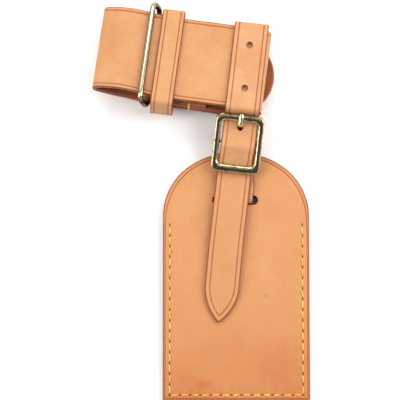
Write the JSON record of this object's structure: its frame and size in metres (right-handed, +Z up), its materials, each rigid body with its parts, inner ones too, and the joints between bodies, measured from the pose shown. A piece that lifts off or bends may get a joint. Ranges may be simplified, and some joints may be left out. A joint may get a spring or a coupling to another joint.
{
  "type": "luggage tag",
  "caption": "Flat leather luggage tag with an arched pocket, held by a narrow buckled strap to a wide leather handle band with a metal ring and a leather keeper.",
  "frame": {"origin": "centre of the part's footprint, on the surface it lies on", "axes": "+X across the tag, +Y from the tag's straight end to the handle band, +Z up from the surface, out of the buckle's face"},
  "size_m": [0.104, 0.1916, 0.025],
  "materials": {
    "tag_leather": "smooth vegetable-tanned leather, aged tan, burnished red-brown edges and heated creases",
    "band_leather": "smooth vegetable-tanned leather, light tan, brown suede on the back",
    "strap_leather": "smooth vegetable-tanned leather, light tan",
    "keeper_leather": "smooth vegetable-tanned leather, light tan",
    "buckle_metal": "polished pale gold plating with fine wear",
    "ring_metal": "polished pale gold plating",
    "thread": "waxed yellow linen thread",
    "card": "stiff cream card, ruled on one side"
  },
  "bodies": {
    "band": {"handle_band": "band_leather", "band_fold_needle_thread": "thread", "band_fold_bobbin_thread": "thread"},
    "ring": {"band_ring": "ring_metal"},
    "keeper": {"band_keeper": "keeper_leather", "keeper_seam_thread": "thread"},
    "hanger": {"strap_loop": "strap_leather"},
    "hitch": {"strap_base": "strap_leather", "strap_front": "strap_leather", "strap_fold_needle_thread": "thread", "strap_fold_bobbin_thread": "thread", "buckle_frame": "buckle_metal", "buckle_bar": "buckle_metal"},
    "prong": {"buckle_prong": "buckle_metal"},
    "strap_tongue": {"strap_end": "strap_leather"},
    "tag": {"tag_front_panel": "tag_leather", "tag_back_panel": "tag_leather", "tag_seam_needle_thread": "thread", "tag_seam_bobbin_thread": "thread"},
    "card": {"id_card": "card"}
  },
  "joints": [
    {"name": "ring_pivot", "type": "hinge", "parent": "band", "child": "ring", "pos_m": [-0.02284, 0.0671, 0.01095], "axis": [0.1289, 0.9792, -0.1564], "range_deg": [0, 16]},
    {"name": "keeper_slide", "type": "slide", "parent": "band", "child": "keeper", "axis": [0.9914, -0.1305, 0], "range_m": [0, 0.012]},
    {"name": "strap_slide", "type": "slide", "parent": "band", "child": "hanger", "axis": [0.9914, -0.1305, 0], "range_m": [-0.01, 0.001]},
    {"name": "tag_swing", "type": "hinge", "parent": "hanger", "child": "hitch", "pos_m": [0.01988, 0.04086, 0.02057], "axis": [-0.9936, 0.1132, 0], "range_deg": [0, 25]},
    {"name": "prong_swing", "type": "hinge", "parent": "hitch", "child": "prong", "pos_m": [0.01832, 0.02724, 0.01152], "axis": [0.9936, -0.1132, 0], "range_deg": [0, 4]},
    {"name": "strap_end_lift", "type": "hinge", "parent": "hitch", "child": "strap_tongue", "pos_m": [0.01667, 0.01277, 0.00892], "axis": [-0.9936, 0.1132, 0], "range_deg": [0, 35], "stiffness_Nm_per_rad": 0.003},
    {"name": "tag_swivel", "type": "hinge", "parent": "hitch", "child": "tag", "pos_m": [0.01525, 0.00018, 0.00401], "axis": [0, -0.0209, 0.9998], "range_deg": [-14, 1.2]},
    {"name": "card_slide", "type": "slide", "parent": "tag", "child": "card", "axis": [0, 0.9998, 0.0209], "range_m": [0, 0.01]}
  ]
}
